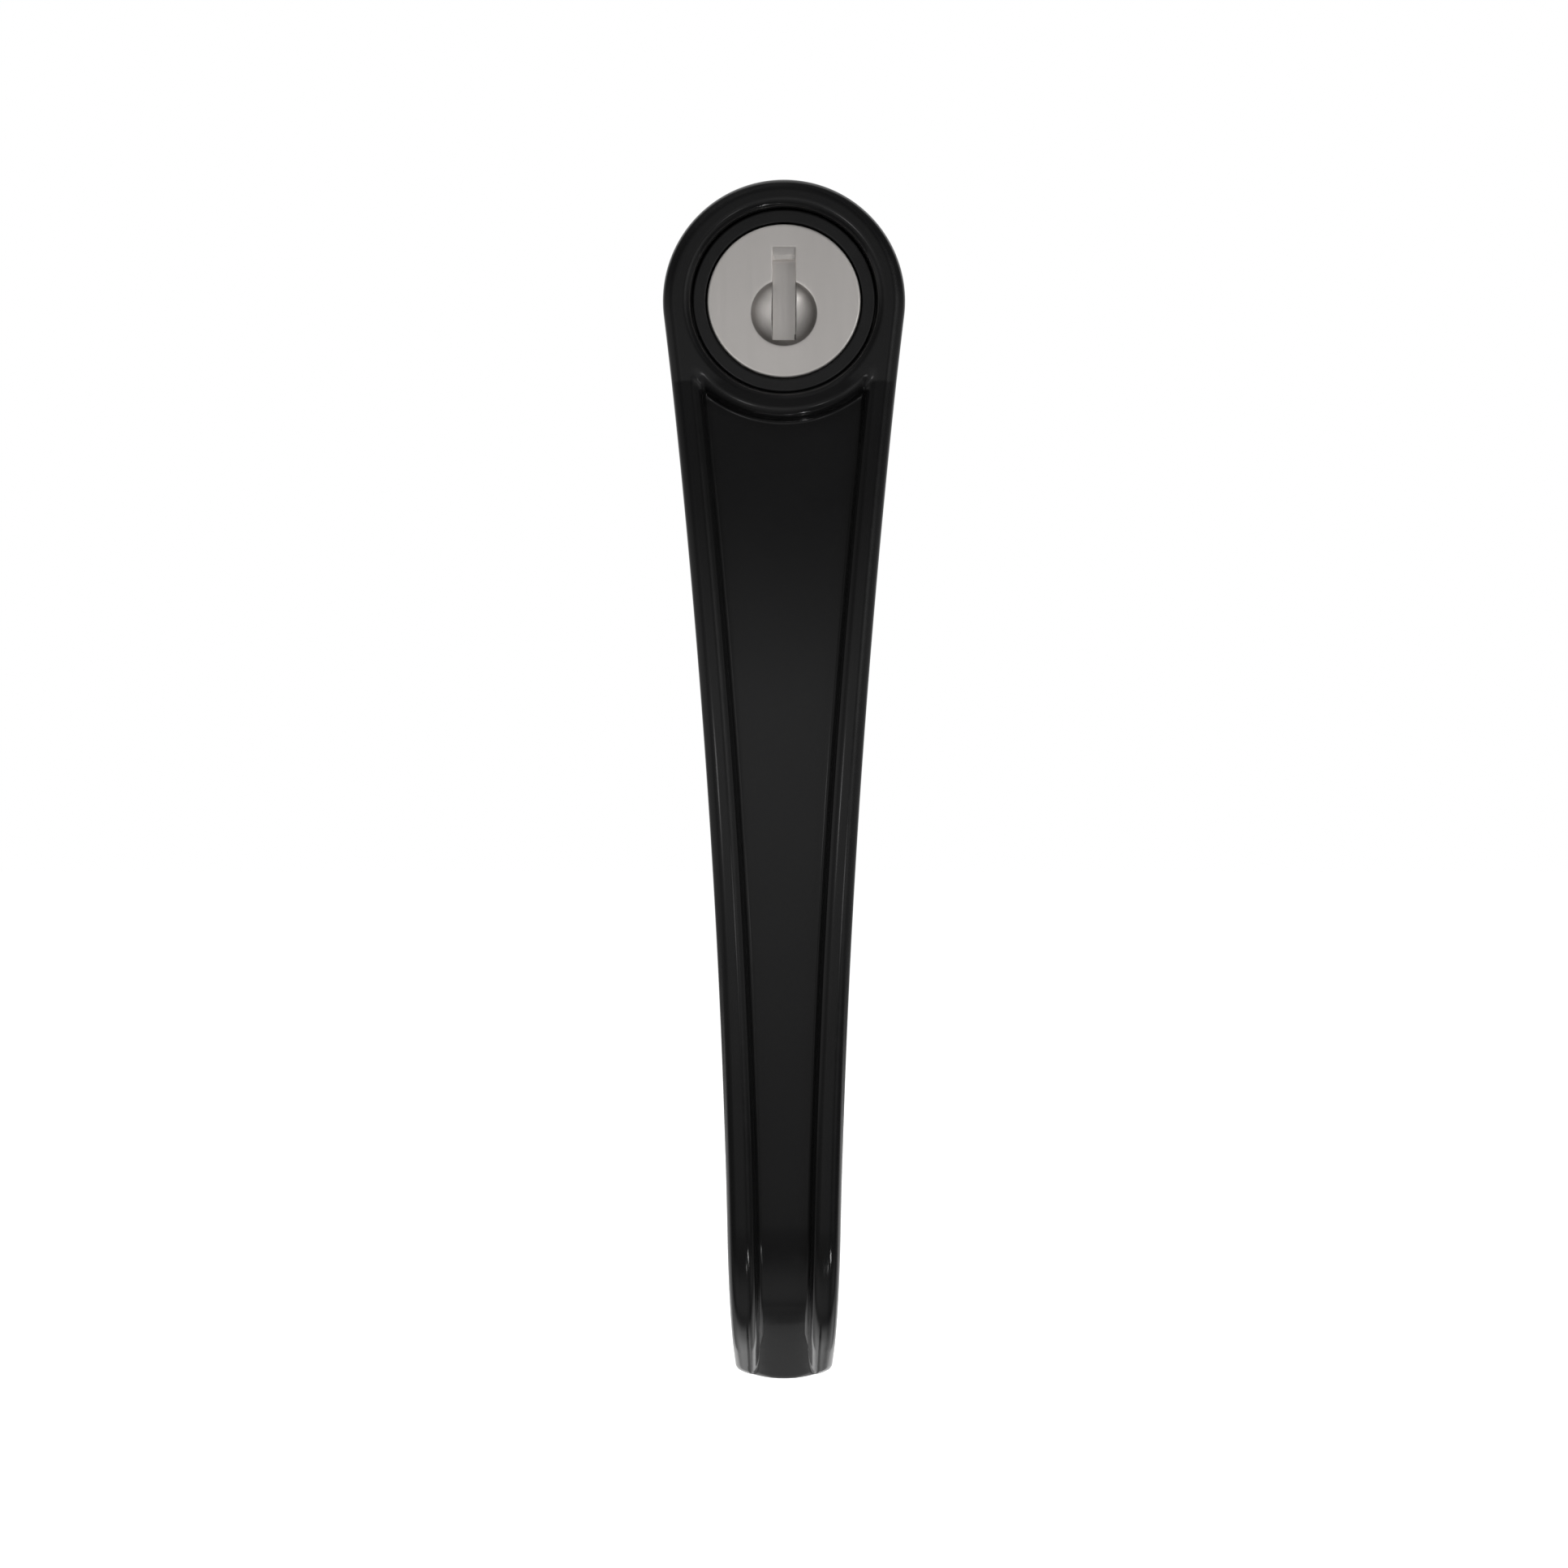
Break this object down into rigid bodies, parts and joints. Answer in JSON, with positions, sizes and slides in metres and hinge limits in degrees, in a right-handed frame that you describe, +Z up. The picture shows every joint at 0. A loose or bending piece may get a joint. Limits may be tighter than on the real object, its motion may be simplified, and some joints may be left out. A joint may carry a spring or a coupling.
{
  "type": "keyed window lock",
  "caption": "Black cast lever handle for a window sash, with a keyed wafer lock in its round head, a nut-clamped base, a spindle and a rear cam.",
  "frame": {"origin": "spindle axis at the sash's outer face, where the gasket rests", "axes": "+Y through the sash along the spindle, -Y towards the user, +Z up with the lever hanging along -Z, +X to the user's right"},
  "size_m": [0.025, 0.0567, 0.1265],
  "materials": {
    "black_enamel": "semi-gloss black enamel on a zinc casting",
    "black_ring": "satin black lock shell",
    "satin_steel": "fine satin stainless steel",
    "plated_steel": "bright zinc plate",
    "zinc_casting": "bare zinc casting",
    "brass": "stamped brass",
    "spring_steel": "oiled spring steel",
    "rubber": "black rubber",
    "nylon": "natural nylon"
  },
  "bodies": {
    "base": {"base_housing": "black_enamel", "sash_gasket": "rubber", "tab_washer": "plated_steel", "mounting_nut": "plated_steel", "thrust_washer": "nylon", "wave_washer": "spring_steel"},
    "handle": {"lever": "black_enamel", "lock_shell": "black_ring", "lock_set_screw": "plated_steel", "spindle": "plated_steel", "spindle_screw": "plated_steel", "stop_pin": "plated_steel", "o_ring": "rubber", "circlip": "spring_steel", "cam": "plated_steel", "cam_washer": "plated_steel", "cam_screw": "plated_steel"},
    "lock_plug": {"plug": "zinc_casting", "face_cap": "satin_steel", "driver_disc": "plated_steel", "driver_screw": "plated_steel", "wafer_spring_1": "spring_steel", "wafer_spring_2": "spring_steel", "wafer_spring_3": "spring_steel", "wafer_spring_4": "spring_steel", "wafer_spring_5": "spring_steel"},
    "bolt": {"lock_bolt": "plated_steel"},
    "shutter": {"dust_shutter": "satin_steel", "shutter_pin": "spring_steel", "shutter_spring": "spring_steel"},
    "wafer_1_body": {"wafer_1": "brass"},
    "wafer_2_body": {"wafer_2": "brass"},
    "wafer_3_body": {"wafer_3": "brass"},
    "wafer_4_body": {"wafer_4": "brass"},
    "wafer_5_body": {"wafer_5": "brass"}
  },
  "joints": [
    {"name": "lever_turn", "type": "hinge", "parent": "base", "child": "handle", "pos_m": [0, 0, 0], "axis": [0, 1, 0], "range_deg": [0, 90]},
    {"name": "plug_turn", "type": "hinge", "parent": "handle", "child": "lock_plug", "pos_m": [0, -0.02, 0], "axis": [0, 1, 0], "range_deg": [0, 90]},
    {"name": "bolt_slide", "type": "slide", "parent": "handle", "child": "bolt", "axis": [0, 0, 1], "range_m": [0, 0.0015]},
    {"name": "shutter_swing", "type": "hinge", "parent": "lock_plug", "child": "shutter", "pos_m": [0.0015, -0.0239, 0], "axis": [0, 0, -1], "range_deg": [0, 80], "stiffness_Nm_per_rad": 0.0001, "deforming": ["shutter_spring"]},
    {"name": "wafer_1_slide", "type": "slide", "parent": "lock_plug", "child": "wafer_1_body", "axis": [0, 0, 1], "range_m": [0, 0.0008], "stiffness_N_per_m": 20, "deforming": ["wafer_spring_1"]},
    {"name": "wafer_2_slide", "type": "slide", "parent": "lock_plug", "child": "wafer_2_body", "axis": [0, 0, 1], "range_m": [0, 0.0008], "stiffness_N_per_m": 20, "deforming": ["wafer_spring_2"]},
    {"name": "wafer_3_slide", "type": "slide", "parent": "lock_plug", "child": "wafer_3_body", "axis": [0, 0, 1], "range_m": [0, 0.0008], "stiffness_N_per_m": 20, "deforming": ["wafer_spring_3"]},
    {"name": "wafer_4_slide", "type": "slide", "parent": "lock_plug", "child": "wafer_4_body", "axis": [0, 0, 1], "range_m": [0, 0.0008], "stiffness_N_per_m": 20, "deforming": ["wafer_spring_4"]},
    {"name": "wafer_5_slide", "type": "slide", "parent": "lock_plug", "child": "wafer_5_body", "axis": [0, 0, 1], "range_m": [0, 0.0008], "stiffness_N_per_m": 20, "deforming": ["wafer_spring_5"]}
  ],
  "couplings": [
    {"joint": "plug_turn", "follows": "bolt_slide", "rad_per_m": 1047.2}
  ]
}
